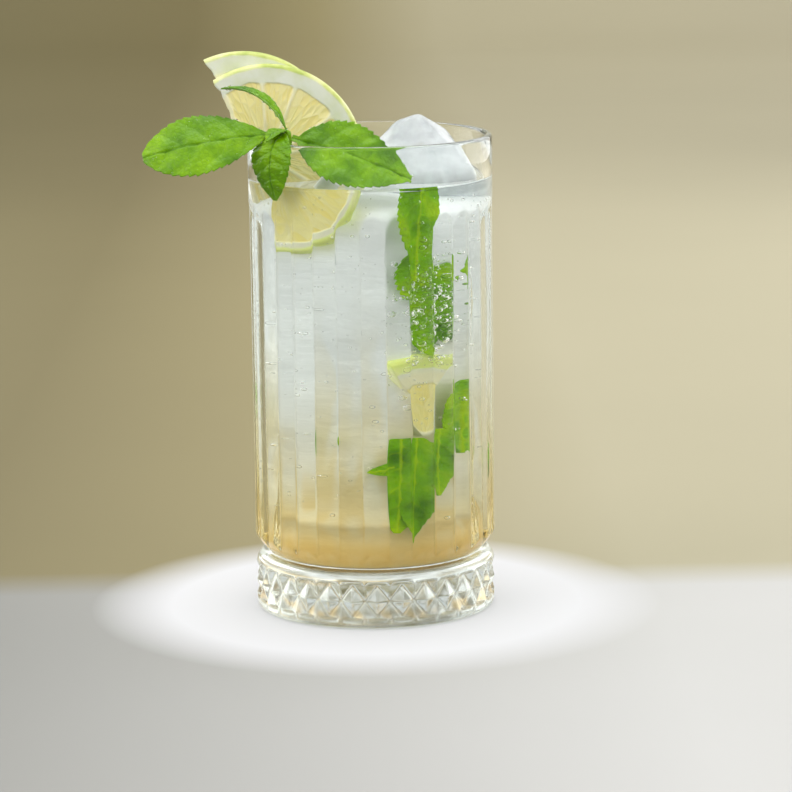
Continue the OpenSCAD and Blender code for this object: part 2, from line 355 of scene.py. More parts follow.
# Rows of the glass from the middle of its underside, up the outside and down the inside.
# Outside radius: the diamonds are two rounded saw waves crossing at a slant, the ribs are arcs of
# ribRound set round a circle, and an arc and a cone trim the ribs' two ends.
def glassRows():
    n = glassShape["ribs"] * glassShape["ribColumns"]
    u = np.arange(n) / glassShape["ribColumns"]
    step = 2 * np.pi / glassShape["ribs"]
    phi = (u - np.round(u)) * step
    c = ribR - glassShape["ribRound"]
    rib = c * np.cos(phi) + np.sqrt(glassShape["ribRound"] ** 2 - (c * np.sin(phi)) ** 2)
    ones = np.ones(n)
    rimR = ribR - 0.3
    rows = [(0, 0 * ones), (0, 20 * ones)]
    for a in np.linspace(0, np.pi / 2, 5):
        rows.append((0.8 - 0.8 * math.cos(a), (rimR - 0.8 + 0.8 * math.sin(a)) * ones))
    rows.append((glassShape["foot"] - 0.1, rimR * ones))

    def wave(x):
        return np.arccos(glassShape["soften"] * np.cos(2 * np.pi * x)) / np.pi

    for v in np.linspace(-1, 1, 33):
        z = glassShape["foot"] + glassShape["band"] * (v + 1) / 2
        sink = (wave(u + v / 2) ** 10 + wave(u - v / 2) ** 10) ** 0.1
        rows.append((z, ribR - glassShape["diamondDepth"] * np.clip(sink, 0, 1)))
    for a in np.linspace(0.06, 1, 10):
        lift = glassShape["shoulder"] * math.sin(a * np.pi / 2)
        out = rimR - glassShape["shoulder"] + glassShape["shoulder"] * math.cos(a * np.pi / 2)
        rows.append((bandTop + lift, max(out, neckR) * ones))

    dr, dz, endRound = ribR - neckR, ribEndZ - neckZ, 12
    half = math.hypot(dr, dz) / 2
    back = math.sqrt(endRound ** 2 - half ** 2)
    cr = (ribR + neckR) / 2 - back * dz / (2 * half)
    cz = (ribEndZ + neckZ) / 2 + back * dr / (2 * half)
    for z in np.linspace(neckZ - 0.3, ribEndZ + 0.4, 20):
        trim = cr + math.sqrt(endRound ** 2 - (z - cz) ** 2)
        rows.append((z, np.maximum(neckR, np.minimum(rib, trim))))
    rows += [(50, rib), (100, rib)]
    for f in np.linspace(0, 1, 12):
        cone = rib.min() - 0.1 + (glassR - rib.min() + 0.1) * f ** 0.8
        rows.append((collarZ - 5.5 + 5.5 * f, np.maximum(rib, cone)))
    lip = glassShape["lipWall"] / 2
    for a in np.linspace(0, np.pi, 13):
        rows.append((glassH - lip + lip * math.sin(a), (glassR - lip + lip * math.cos(a)) * ones))
    inR, inZ = innerProfile(glassH - lip)
    rows += [(z, r * ones) for r, z in zip(inR[-2::-1], inZ[-2::-1])]
    return np.array([r for _, r in rows]), np.array([z for z, _ in rows]), n


# Tint by share of the height, with a straw band at the shoulder that is painted: the drink's colour seen
# through the glass; the bands of the foot, by share of the foot's, where painted amber glints stand for the
# drink seen through the facets; the roughness of the pressed foot and the strength of the shine.
glassLook = {"tint": [(0.0, (0.70, 0.77, 0.755)), (0.12, (0.74, 0.80, 0.78)), (0.14, (0.84, 0.82, 0.68)),
                      (0.165, (0.90, 0.88, 0.75)), (0.185, (0.965, 0.985, 0.975)),
                      (1.0, (0.975, 0.99, 0.985))],
             "paintedGlintBands": [(0.14, (0, 0, 0)), (0.22, (1, 1, 1)), (0.36, (0.9, 0.9, 0.9)), (0.46, (0, 0, 0)),
                            (0.78, (0, 0, 0)), (0.84, (0.7, 0.7, 0.7)), (0.92, (0, 0, 0))],
             "paintedAmberGlint": (0.86, 0.58, 0.17), "pressed": 0.13, "shine": 0.32}


def glassMaterial():
    mat, tree = newMaterial("pressedGlass")
    vector, xyz = objectPlace(tree)
    waves = addNode(tree, "ShaderNodeTexNoise", Vector=vector, Scale=60.0, Detail=2.0).outputs[0]
    relief = addNode(tree, "ShaderNodeBump", Height=waves, Strength=0.06, Distance=0.0015).outputs[0]
    tint = rampNode(tree, mapRange(tree, xyz[2], 0.0, glassH * mm), glassLook["tint"])
    # painted glints: amber spots on the foot's glass stand for the drink seen through its facets
    spots = addNode(tree, "ShaderNodeTexNoise", Vector=vector, Scale=170.0, Detail=1.0).outputs[0]
    band = rampNode(tree, mapRange(tree, xyz[2], 0.0, (bandTop + 2) * mm), glassLook["paintedGlintBands"])
    share = addNode(tree, "ShaderNodeMath", {"operation": "MULTIPLY"}, i0=band,
                    i1=mapRange(tree, spots, 0.50, 0.62, 0.0, 0.8)).outputs[0]
    tint = mixColour(tree, share, tint, (*glassLook["paintedAmberGlint"], 1))
    pressed = mapRange(tree, xyz[2], (bandTop + 2) * mm, (bandTop + 4) * mm, glassLook["pressed"], 0.0)
    shader = addNode(tree, "ShaderNodeBsdfPrincipled", Base_Color=tint, Roughness=pressed, IOR=1.5,
                     Transmission_Weight=1.0, Normal=relief, Specular_Tint=(*[glassLook["shine"]] * 3, 1))
    finishMaterial(tree, shader.outputs[0], lampsPass=(0.97, 0.985, 0.98, 1))
    return mat


def makeGlass():
    r, z, n = glassRows()
    points, faces = lathe(r, z, n)
    points, faces, _ = dropUnused(points, faces)
    addPiece("glass_clear", points, faces, glassMaterial(), replaces=["glass"])


# drink

drinkShape = {"intoWall": 0.2, "meniscus": 1.0, "meniscusWidth": 3.0}


def drinkMaterial():
    mat, tree = newMaterial("fizzyDrink")
    vector, xyz = objectPlace(tree)
    swirl = addNode(tree, "ShaderNodeTexNoise", Vector=vector, Scale=25.0, Detail=2.0).outputs[0]
    height = addNode(tree, "ShaderNodeMath", {"operation": "MULTIPLY_ADD"}, i0=swirl, i1=0.02,
                     i2=xyz[2]).outputs[0]
    tint = rampNode(tree, mapRange(tree, height, floorZ * mm, level * mm),
                    [(0.0, (0.97, 0.86, 0.58)), (0.12, (0.97, 0.90, 0.70)), (0.3, (0.97, 0.95, 0.87)),
                     (0.6, (0.98, 0.985, 0.97)), (1.0, (0.98, 0.99, 0.985))])
    shader = addNode(tree, "ShaderNodeBsdfPrincipled", Base_Color=tint, Roughness=0.0, IOR=1.33,
                     Transmission_Weight=1.0, Specular_Tint=(0.15, 0.15, 0.15, 1))
    finishMaterial(tree, shader.outputs[0], lampsPass=(0.98, 0.98, 0.96, 1))
    return mat


# The liquid: the glass's own inside grown a little into its wall, and a top that climbs at the wall.
def makeDrink():
    r, z = innerProfile(level, gap=-drinkShape["intoWall"])
    inward = np.linspace(0, 1, 10) ** 1.5
    topR = (lipR + drinkShape["intoWall"]) * (1 - inward)
    climb = drinkShape["meniscus"] * np.exp(-(lipR - topR) / drinkShape["meniscusWidth"])
    r = np.concatenate([r[:-1], topR])
    z = np.concatenate([z[:-1], level - drinkShape["meniscus"] * 0.6 + climb])
    points, faces = lathe(r, z, 192)
    points, faces, _ = dropUnused(points, faces)
    addPiece("drink_liquid", points, faces, drinkMaterial(), replaces=["drink"])


# The last stop of straw and milk, greyer at the very top, is painted shade under the floating ice and leaves.
coreShape = {"gap": 1.6, "front": 3.4, "lump": 1.6, "top": 1.4, "draw": 5.0,
             "straw": [(0.0, (1.0, 0.48, 0.05)), (0.012, (0.93, 0.65, 0.26)), (0.06, (0.90, 0.69, 0.32)),
                       (0.13, (0.82, 0.66, 0.33)), (0.24, (0.79, 0.67, 0.36)), (0.38, (0.82, 0.75, 0.52)),
                       (0.50, (0.85, 0.83, 0.71)), (0.66, (0.85, 0.87, 0.84)), (0.94, (0.86, 0.885, 0.88)),
                       (1.0, (0.74, 0.77, 0.77))],
             "milk": [(0.0, (1.0, 0.48, 0.05)), (0.012, (0.94, 0.69, 0.32)), (0.09, (0.86, 0.73, 0.43)),
                      (0.17, (0.85, 0.78, 0.56)), (0.28, (0.86, 0.83, 0.70)), (0.38, (0.87, 0.87, 0.80)),
                      (0.50, (0.88, 0.90, 0.87)), (0.94, (0.88, 0.91, 0.91)), (1.0, (0.74, 0.77, 0.77))]}


# Cloudy heart of the drink: white with bubbles above, straw below, darker at the very bottom, and greyer at
# the very top: painted shade under the floating ice and leaves.
def coreMaterial():
    mat, tree = newMaterial("cloudyHeart")
    vector, xyz = objectPlace(tree)
    tall = addNode(tree, "ShaderNodeVectorMath", {"operation": "MULTIPLY"}, i0=vector, i1=(1, 1, 0.12))
    streaks = addNode(tree, "ShaderNodeTexNoise", Vector=tall.outputs[0], Scale=170.0, Detail=2.0).outputs[0]
    height = mapRange(tree, xyz[2], floorZ * mm, level * mm)
    straw = rampNode(tree, height, coreShape["straw"])
    milk = rampNode(tree, height, coreShape["milk"])
    colour = mixColour(tree, mapRange(tree, streaks, 0.44, 0.56), straw, milk)
    fine = addNode(tree, "ShaderNodeTexNoise", Vector=vector, Scale=260.0, Detail=3.0).outputs[0]
    relief = addNode(tree, "ShaderNodeBump", Height=fine, Strength=0.5, Distance=0.001).outputs[0]
    shader = addNode(tree, "ShaderNodeBsdfPrincipled", Base_Color=colour, Roughness=0.5, Normal=relief,
                     Specular_IOR_Level=0.15)
    finishMaterial(tree, shader.outputs[0], lampsPass=(0.8, 0.8, 0.78, 1))
    return mat


# A lumpy column inside the liquid: the drink's own shape drawn in, further in front where the leaves
# are, and pushed about by smooth noise.
def makeCore():
    rows, cols = 180, 260
    z = np.concatenate([[floorZ + 0.4], np.linspace(floorZ + 0.4, level - coreShape["top"], rows),
                        [level - coreShape["top"]]])
    inR, inZ = innerProfile(level)
    base = np.interp(z, inZ[2:], inR[2:])[:, None]
    angle = -np.pi / 2 + 2 * np.pi * np.arange(cols)[None, :] / cols
    facing = smooth(-np.sin(angle), 0.25, 0.7)
    above = smooth(z, floorZ + 8, floorZ + 20)[:, None]
    r = np.minimum(base - 0.7, innerR - coreShape["gap"]) - coreShape["front"] * facing * above
    r = np.minimum(r, innerR - coreShape["draw"] + (coreShape["draw"] - coreShape["gap"]) * above)
    end = np.clip((z[-1] - z) / 8, 0, 1)[:, None]
    r = r * np.sqrt(np.clip(end * (2 - end), 0.0, 1))
    spot = np.stack([30 * np.cos(angle) + 0 * r, 30 * np.sin(angle) + 0 * r, 0.45 * z[:, None] + 0 * r], -1)
    r = r + above * bumps(spot, 20, 3) * coreShape["lump"] * np.clip(r / 10, 0, 1)
    r[0] = r[-1] = 0
    points, faces = lathe(r, z, cols)
    points, faces, _ = dropUnused(points, faces)
    addPiece("drink_cloud", points, faces, coreMaterial())


# ice

iceShape = {"width": 25, "round": 4.5, "clear": 0.3, "sharp": 1.7, "wobble": 0.5}
iceCorners = [(-0.42, 0.00, 0.56), (-0.20, 0.02, 0.64), (-0.72, 0.04, 0.26), (0.12, 0.06, 0.44),
              (0.42, 0.08, 0.00), (-0.66, 0.34, 0.00), (0.28, 0.36, 0.10), (0.36, -0.26, -0.04),
              (-0.66, -0.80, -0.12), (0.46, -0.66, -0.04), (0.10, -0.85, -0.06), (-0.18, 0.00, -0.42),
              (0.22, 0.10, -0.40)]


# Rounded lump: each direction's point is the corners' mean, weighted by exp(sharp * reach that way),
# plus soft mm outward. Returns points and quads, closed at both poles.
def lump(corners, soft, sharp, rows, cols):
    up = np.linspace(-np.pi / 2, np.pi / 2, rows)[:, None]
    turn = 2 * np.pi * np.arange(cols)[None, :] / cols
    way = np.stack([np.cos(up) * np.cos(turn), np.cos(up) * np.sin(turn), np.sin(up) + 0 * turn], -1)
    way[0], way[-1] = (0, 0, -1), (0, 0, 1)
    reach = way @ np.asarray(corners).T * sharp
    weight = np.exp(reach - reach.max(-1, keepdims=True))
    weight /= weight.sum(-1, keepdims=True)
    points = weight @ np.asarray(corners) + soft * way
    faces = gridFaces(rows, cols, wrap=True)
    faces = np.where(faces < cols, 0, faces)
    last = (rows - 1) * cols
    faces = np.where(faces >= last, last, faces)
    return points.reshape(-1, 3), faces


# Wet ice: part clear, part milky, in clouds.
def iceMaterial(name, tint, milk):
    mat, tree = newMaterial(name)
    vector, xyz = objectPlace(tree)
    cloud = addNode(tree, "ShaderNodeTexNoise", Vector=vector, Scale=120.0, Detail=3.0).outputs[0]
    white = mapRange(tree, cloud, 0.35, 0.65, milk - 0.15, milk + 0.15)
    relief = addNode(tree, "ShaderNodeBump", Height=cloud, Strength=0.22, Distance=0.0015).outputs[0]
    clear = addNode(tree, "ShaderNodeBsdfPrincipled", Base_Color=(*tint, 1), Roughness=0.08, IOR=1.31,
                    Transmission_Weight=1.0, Normal=relief)
    solid = addNode(tree, "ShaderNodeBsdfPrincipled", Base_Color=(*tint, 1), Roughness=0.25, IOR=1.31,
                    Normal=relief, Subsurface_Weight=0.6, Subsurface_Scale=0.004,
                    Subsurface_Radius=(1, 1, 1))
    skin = addNode(tree, "ShaderNodeMixShader", i0=white, i1=clear.outputs[0], i2=solid.outputs[0])
    finishMaterial(tree, skin.outputs[0], lampsPass=(0.9, 0.92, 0.92, 1))
    return mat


def makeIceTop():
    reach = iceShape["width"] - 2 * iceShape["round"]
    width = iceShape["width"]
    centre = np.array([lipR - iceShape["clear"] - 4 - width / 2, width / 3, level + 1])
    points, faces = lump(np.array(iceCorners) * reach * 1.3, iceShape["round"], iceShape["sharp"], 120, 180)
    points *= 1 - iceShape["wobble"] * 0.03 * (1 + bumps(points, 14, 8))[:, None]
    points, faces, _ = dropUnused(points + centre, faces)
    addPiece("ice_top", points, faces, iceMaterial("wetIce", (0.66, 0.69, 0.705), 0.5),
             replaces=["ice"])


sunkIce = {"count": 34, "size": (14, 22), "near": 9, "far": 20.5, "bottom": 44, "soft": 2.2}
breaking = [(4, 15, -5, 17), (20, 20, -6, 15), (-15, -14, -7, 15),
            (-12, 17, -6, 16)]  # x, y, depth and size of the lumps whose tops break the surface


# Lumps of ice standing out of the cloudy heart, all one piece.
def makeSunkIce():
    parts = []
    for k in range(sunkIce["count"] + len(breaking)):
        size = rng.uniform(*sunkIce["size"])
        box = np.array([(x, y, z) for x in (-1, 1) for y in (-1, 1) for z in (-1, 1)], float)
        corners = box * size * 0.36 * rng.uniform(0.75, 1.1, 3) + rng.uniform(-1.6, 1.6, (8, 3))
        axis = rng.normal(size=3)
        turned = corners @ np.array(Matrix.Rotation(rng.uniform(0, 3.1), 3, Vector(axis)))
        angle = 2.4 * k + rng.uniform(-0.3, 0.3)
        out = rng.uniform(sunkIce["near"], sunkIce["far"])
        z = sunkIce["bottom"] + (level - 18 - sunkIce["bottom"]) * (k + 0.5) / sunkIce["count"]
        points, faces = lump(turned, sunkIce["soft"], 0.8, 20, 28)
        place = (out * math.cos(angle), out * math.sin(angle), z)
        if k >= sunkIce["count"]:
            x, y, depth, wide = breaking[k - sunkIce["count"]]
            points = points * wide / size
            place = (x, y, level + depth)
        points = points + place
        reach = np.linalg.norm(points[:, :2], axis=1, keepdims=True)
        points[:, :2] *= np.minimum(1, (innerR - 2.2) / np.maximum(reach, 1))
        points, faces, _ = dropUnused(points, faces)
        parts.append((points, faces, {}))
    points, faces, _ = joinParts(parts)
    addPiece("ice_sunk", points, faces, iceMaterial("sunkIce", (0.76, 0.785, 0.785), 0.85))


# citrus

citrusShape = {"radius": 30.5, "thick": 4.0, "pith": 5.6, "peel": 1.25, "membrane": 0.55, "dip": 0.35,
               "clear": 0.3, "rim": 1.5, "whiteFrom": 23.5, "whiteBy": 25.0, "innerPith": (0.90, 0.85, 0.56)}
citrusPlaces = [
    {"name": "citrus_front", "centre": (-lipR + 3.9, -1, glassH - 8), "tilt": 4, "turn": 26, "cut": -3.5,
     "first": -92, "spans": [38, 34, 28, 34, 25, 36], "ragged": 0.9},
    {"name": "citrus_back", "centre": (-lipR - 3.6, -1 + 4.3, glassH - 4.3), "tilt": 4, "turn": 32,
     "cut": 4.6, "first": -88, "spans": [36, 40, 32, 36, 36], "ragged": 0.5, "pith": 9},
]


# Height and colour shares of a cut wheel at (x, y): half thickness falls off round the rim as a
# quarter ellipse; the flesh lies lower wherever it is clear of every membrane line and of the pith.
def citrusSkin(x, y, first, spans, seed, peel=citrusShape["peel"], pith=citrusShape["pith"], cut=1e3):
    shape = citrusShape
    rho = np.hypot(x, y)
    phi = np.arctan2(y, x)
    edges = np.radians(np.cumsum([first] + spans))
    gap = np.abs((phi[..., None] - edges + np.pi) % (2 * np.pi) - np.pi)
    aside = rho * np.sin(np.minimum(gap.min(-1), np.pi / 2)) - shape["membrane"] / 2
    spot = np.stack([x, y, 0 * x], -1)
    shade = bumps(spot, 9, seed)
    within = np.minimum(shape["radius"] - pith + 0.5 * shade - rho, cut - 1.2 + 0.6 * shade)
    clear = -np.log(np.exp(-aside / 0.7) + np.exp(-within / 0.7) + np.exp(-(rho - 2.2) / 0.7)) * 0.7
    flesh = smooth(clear, -0.15, 0.45)
    over = np.clip((rho - shape["radius"] + shape["rim"]) / shape["rim"], 0, 1)
    half = shape["thick"] / 2 * np.sqrt(np.clip(1 - over ** 2, 0, 1))
    pulp = bumps(np.stack([phi * 16, rho * 0.35, 0 * x], -1), 2.4, seed + 1)
    half = half - shape["dip"] * flesh + 0.07 * pulp * flesh + 0.05 * shade * (over < 0.01)
    peel = smooth(rho + 0.25 * shade, shape["radius"] - peel - 0.5, shape["radius"] - peel + 0.3)
    return half, {"flesh": flesh, "peel": peel, "rho": rho, "phi": phi}


# Joins a front and a back grid into a closed skin: each row runs out on one and home on the other.
def closeLoop(front, back, marks):
    ring = np.concatenate([front, back[:, ::-1]], 1)
    marks = {n: np.concatenate([v, v[:, ::-1]], 1) for n, v in marks.items()}
    ends = [ring[:1].mean(1, keepdims=True) + 0 * ring[:1], ring[-1:].mean(1, keepdims=True) + 0 * ring[:1]]
    ring = np.concatenate([ends[0], ring, ends[1]])
    marks = {n: np.concatenate([v[:1], v, v[-1:]]) for n, v in marks.items()}
    rows, cols = ring.shape[:2]
    faces = gridFaces(rows, cols, wrap=True)
    faces = np.where(faces < cols, 0, faces)
    last = (rows - 1) * cols
    faces = np.where(faces >= last, last, faces)
    points = ring.reshape(-1, 3)
    return dropUnused(points, faces, {n: v.reshape(-1) for n, v in marks.items()})


# Flat slice to its place: turned in its own plane, stood up, tilted back and carried to its centre.
def standUp(points, place):
    turn = Matrix.Rotation(math.radians(90 - place["tilt"]), 3, "X") @ Matrix.Rotation(
        math.radians(place["turn"]), 3, "Z")
    return points @ np.array(turn).T + np.array(place["centre"])


# Half wheel on a grid: rows run across at y = R sin(pi u / 2), columns from the cut, or from the glass
# where that stands further in, out to the circle.
def slicePoints(place):
    shape = citrusShape
    rows, cols = 230, 130
    top = math.sqrt(shape["radius"] ** 2 - max(place["cut"], 0) ** 2)
    y = top * np.sin(np.pi / 2 * np.linspace(-0.9995, 0.9995, rows))[:, None]
    right = np.sqrt(shape["radius"] ** 2 - y ** 2)
    line = np.concatenate([0 * y, y, 0 * y], -1)
    torn = bumps(line, 11, 21) - 0.2 + 0.4 * bumps(line, 3, 22)
    cut = place["cut"] + place["ragged"] * torn[:, None]
    turn, tilt = math.radians(place["turn"]), math.radians(place["tilt"])
    cx, cy, cz = place["centre"]
    atLip = ((glassH + shape["clear"] - cz) / math.cos(tilt) - y * math.cos(turn)) / math.sin(turn)
    wall = lipR - shape["clear"] - 0.35
    for _ in range(3):
        atWall = (-wall - cx + y * math.sin(turn)) / math.cos(turn)
        z = cz + (atWall * math.sin(turn) + y * math.cos(turn)) * math.cos(tilt)
        wall = wallR(z) - 0.65
    left = np.clip(np.maximum(cut, np.minimum(atLip, atWall)), -right, right)
    v = 1 - (1 - np.linspace(0, 1, cols)[None, :]) ** 1.7
    x = left + (right - left) * v
    half, marks = citrusSkin(x, y + 0 * x, place["first"], place["spans"], 31,
                             pith=place.get("pith", shape["pith"]), cut=x - left)
    edge = np.clip((x - left) / 0.35, 0, 1)
    half = half * np.sqrt(np.clip(0.75 + 0.25 * edge * (2 - edge), 0, 1))
    y = y + 0 * x
    front = np.stack([x, y, half], -1)
    back = np.stack([x, y, -half], -1)
    return closeLoop(back, front, marks)


citrusDry = {"name": "citrusFlesh", "pulp": [(0.90, 0.79, 0.31), (0.92, 0.82, 0.35), (0.93, 0.85, 0.42)],
             "line": (0.87, 0.80, 0.47), "pith": [(0.69, 0.73, 0.52), (0.77, 0.80, 0.68)],
             "peel": [(0.40, 0.50, 0.08), (0.60, 0.66, 0.20), (0.76, 0.78, 0.40)],
             "coat": 0.25, "relief": 0.45}
# The sunk wedge and bent slice: a lighter copy of the citrus colours, painted light that makes up for the
# shade they sit in under the leaves and in the drink.
citrusSunkLit = {"name": "citrusUnderLit", "pulp": [(0.97, 0.83, 0.28), (0.98, 0.86, 0.33), (0.98, 0.88, 0.42)],
             "line": (0.97, 0.86, 0.44), "pith": [(0.83, 0.82, 0.56), (0.87, 0.86, 0.66)],
             "peel": [(0.78, 0.88, 0.20), (0.86, 0.93, 0.32), (0.92, 0.95, 0.50)],
             "coat": 0.0, "relief": 0.15, "pass": (0.85, 0.82, 0.55, 1)}


def citrusMaterial(look):
    mat, tree = newMaterial(look["name"])
    vector, xyz = objectPlace(tree)
    mark = {n: addNode(tree, "ShaderNodeAttribute", {"attribute_name": n}).outputs["Fac"]
            for n in ("flesh", "peel", "rho", "phi")}
    along = addNode(tree, "ShaderNodeMath", {"operation": "MULTIPLY"}, i0=mark["phi"], i1=15.0).outputs[0]
    out = addNode(tree, "ShaderNodeMath", {"operation": "MULTIPLY"}, i0=mark["rho"], i1=0.24).outputs[0]
    cell = addNode(tree, "ShaderNodeCombineXYZ", X=along, Y=out)
    sacs = addNode(tree, "ShaderNodeTexVoronoi", {"feature": "DISTANCE_TO_EDGE"}, Vector=cell.outputs[0],
                   Scale=0.8).outputs["Distance"]
    tone = addNode(tree, "ShaderNodeTexVoronoi", Vector=cell.outputs[0], Scale=0.8).outputs["Color"]
    toneShare = addNode(tree, "ShaderNodeSeparateColor", Color=tone).outputs[0]
    pulp = rampNode(tree, toneShare, list(zip((0.0, 0.5, 1.0), look["pulp"])))
    skinLine = mapRange(tree, sacs, 0.0, 0.10, 0.35, 0.0)
    pulp = mixColour(tree, skinLine, pulp, (*look["line"], 1))
    blotch = addNode(tree, "ShaderNodeTexNoise", Vector=vector, Scale=160.0, Detail=3.0).outputs[0]
    pith = rampNode(tree, blotch, list(zip((0.3, 0.6), look["pith"])))
    peel = rampNode(tree, blotch, list(zip((0.3, 0.5, 0.7), look["peel"])))
    inner = mapRange(tree, mark["rho"], citrusShape["whiteFrom"], citrusShape["whiteBy"])
    pith = mixColour(tree, inner, (*citrusShape["innerPith"], 1), pith)
    colour = mixColour(tree, mark["flesh"], pith, pulp)
    colour = mixColour(tree, mark["peel"], colour, peel)
    height = addNode(tree, "ShaderNodeMath", {"operation": "MULTIPLY_ADD"}, i0=mapRange(tree, sacs, 0.0, 0.3),
                     i1=mark["flesh"], i2=mapRange(tree, blotch, 0.3, 0.7, 0.0, 0.25)).outputs[0]
    relief = addNode(tree, "ShaderNodeBump", Height=height, Strength=look["relief"],
                     Distance=0.0004).outputs[0]
    wet = mapRange(tree, mark["flesh"], 0.0, 1.0, 0.5, 0.16)
    shader = addNode(tree, "ShaderNodeBsdfPrincipled", Base_Color=colour, Roughness=wet, Normal=relief,
                     Subsurface_Weight=0.25, Subsurface_Scale=0.002, Subsurface_Radius=(1, 0.9, 0.5),
                     Coat_Weight=look["coat"])
    finishMaterial(tree, shader.outputs[0], lampsPass=look.get("pass"))
    return mat


citrusWedge = {"around": 28, "inward": 30.0, "height": 58.5, "radius": 27.0, "half": 21, "lean": 2,
               "peel": 4.8, "pith": 10.5}
citrusBent = {"around": -30.5, "height": 144.7, "scale": 0.93, "from": -112, "to": -15, "peel": 1.9,
              "pith": 3.6, "deep": 4.0}


def makeCitrus():
    look = citrusMaterial(citrusDry)
    for place in citrusPlaces:
        points, faces, marks = slicePoints(place)
        addPiece(place["name"] + "_slice", standUp(points, place), faces, look, marks,
                 replaces=[place["name"]])
    # a wedge sunk beside the wall: the same skin on a fan of angle and radius, its point down
    shape = citrusWedge
    fan = np.radians(np.linspace(90 - shape["half"], 90 + shape["half"], 150))[:, None]
    rho = citrusShape["radius"] * (1 - (1 - np.linspace(0.03, 1, 110)[None, :]) ** 1.5)
    x, y = rho * np.cos(fan), rho * np.sin(fan)
    half, marks = citrusSkin(x, y, 90 - shape["half"] - 6, [2 * shape["half"] + 12], 41,
                             shape["peel"], shape["pith"])
    front = np.stack([x, y, half], -1) * (shape["radius"] / citrusShape["radius"])
    back = front * (1, 1, -1)
    points, faces, marks = closeLoop(back, front, marks)
    points = points @ np.array(Matrix.Rotation(math.radians(shape["lean"]), 3, "Z")).T
    points = np.stack([points[:, 0], -points[:, 2] - shape["inward"], points[:, 1] + shape["height"]], -1)
    points = points @ np.array(Matrix.Rotation(math.radians(shape["around"]), 3, "Z")).T
    parts = [(points, faces, marks)]
    # a slice bent along the wall: a fan below the drink's top, its flat places read as arc and height
    shape = citrusBent
    fan = np.radians(np.linspace(shape["from"], shape["to"], 150))[:, None]
    start = (shape["height"] - level + 0.6) / -np.sin(fan) / shape["scale"]
    rho = start + (citrusShape["radius"] - start) * (1 - (1 - np.linspace(0, 1, 110)[None, :]) ** 1.5)
    x, y = rho * np.cos(fan), rho * np.sin(fan)
    half, marks = citrusSkin(x, y, -150, [190], 47, shape["peel"], shape["pith"])
    half = half * shape["scale"]
    angle = (shape["around"] + x * shape["scale"]) / innerR - np.pi / 2
    z = shape["height"] + y * shape["scale"]
    wall = wallR(z) - shape["deep"]

    def placed(r):
        return np.stack([r * np.cos(angle), r * np.sin(angle), z], -1)

    parts.append(closeLoop(placed(wall - half), placed(wall + half), marks))
    points, faces, marks = joinParts(parts)
    addPiece("citrus_sunk", points, faces, citrusMaterial(citrusSunkLit), marks)


# mint

knot = np.array([-0.708 * lipR, -0.611 * lipR, glassH + 3])
across = np.array([-0.757, -0.653, 0])
leafLong, leafWide = 39, 10.8
leaves = [
    {"from": knot + (0.6, 0.2, -1.2), "to": (knot[0] + leafLong * 0.98, knot[1] - 1.5, level + 1.6),
     "toward": (0.1, -0.78, 0.62), "half": leafWide + 0.9, "arch": 1.2, "fold": 0.10, "neck": 0.06,
     "blunt": 0.9},
    {"from": knot, "to": knot + across * 7.8 + (-leafLong, 0, -6.5), "toward": (-0.1, -0.80, 0.60),
     "half": leafWide, "arch": 3, "fold": -0.06, "neck": 0.13, "swell": 1.25, "blunt": 0.64},
    {"from": knot + (-0.3, -0.3, 0.3), "to": 40.8 * across + (1.2, 0, level - 4),
     "toward": (-0.56, -0.8, 0.2), "half": 7.6, "arch": 6.5, "fold": -0.08, "neck": 0.02, "teeth": 6,
     "early": 0.7},
    {"from": knot + (0, 0.5, 0.6), "to": knot + (-20.5, 7, 13.5), "toward": (0.35, -0.30, 0.85),
     "half": 2.3, "arch": 5, "fold": 0.35, "neck": 0.05, "teeth": 6},
    {"from": knot + (-0.5, -0.5, 1.2), "to": knot + (-6.4, -6.6, -1.6), "toward": (-0.35, -0.45, 0.82),
     "half": 3.1, "arch": 1.4, "fold": 0.05, "neck": 0.02, "teeth": 4},
]
mintShape = {"thick": 0.5, "veins": 5, "quilt": 0.5, "groove": 0.35, "notch": 0.07, "stem": 1.1}


# Leaf laid flat: along is s times its length; half width is half * sin(pi b^swell)^blunt with teeth that
# point forward; the lift is the arch 4u(1-u), the fold up from the midrib, grooves along the midrib and
# the side veins, and the quilting between them. Returns s, sideways place, lift and the vein share.
def leafSheet(leaf, rows, cols, seed):
    teeth, early = leaf.get("teeth", 9), leaf.get("early", 1)
    s = np.linspace(0.02, 0.99, rows)[:, None]
    t = np.linspace(-1, 1, cols)[None, :]
    blade = np.maximum(0, s - leaf["neck"]) / (1 - leaf["neck"])
    wave = (2 * teeth * s + 0.13 * np.sign(t)) % 1
    swell, blunt = leaf.get("swell", 0.8), leaf.get("blunt", 0.75)
    width = leaf["half"] * np.maximum(0.1, np.sin(np.pi * blade ** swell) ** blunt)
    width = width * (1 - mintShape["notch"] * (1 - wave) ** 1.5 * np.abs(t) ** 3)
    u = s ** early
    bow = 4 * u * (1 - u) * leaf["arch"] + leaf["fold"] * width * np.abs(t)
    drift = bumps(np.stack([s * 40 + 0 * t, 14 * t + 0 * s, 0 * s * t], -1), 17, seed + 2)
    run = mintShape["veins"] * (s ** 0.9 * 1.1 - 0.24 * (np.abs(t) * width / leaf["half"]) ** 1.3)
    run = run + 0.45 * (t > 0) + 0.16 * drift
    part = run % 1
    room = np.minimum(1, width / 4)
    middle = np.exp(-(width * t / 0.42) ** 2)
    side = np.exp(-(np.minimum(part, 1 - part) * leaf["half"] / 0.42) ** 2)
    side = side * (1 - middle) * (np.abs(t) < 0.93)
    quilt = np.sin(np.pi * part) ** 0.8 * (1 - 0.5 * t ** 2) * room
    flat = np.stack([s * 40 + 0 * t, width * t, 0 * s * t], -1)
    fine = bumps(flat, 2.0, seed) * 0.10 + bumps(flat, 7, seed + 1) * 0.35
    lift = bow + (mintShape["quilt"] * (quilt - 0.5) + fine) * room - mintShape["groove"] * middle * room
    vein = np.clip(middle + 0.75 * side, 0, 1)
    return s, width * t, lift, vein


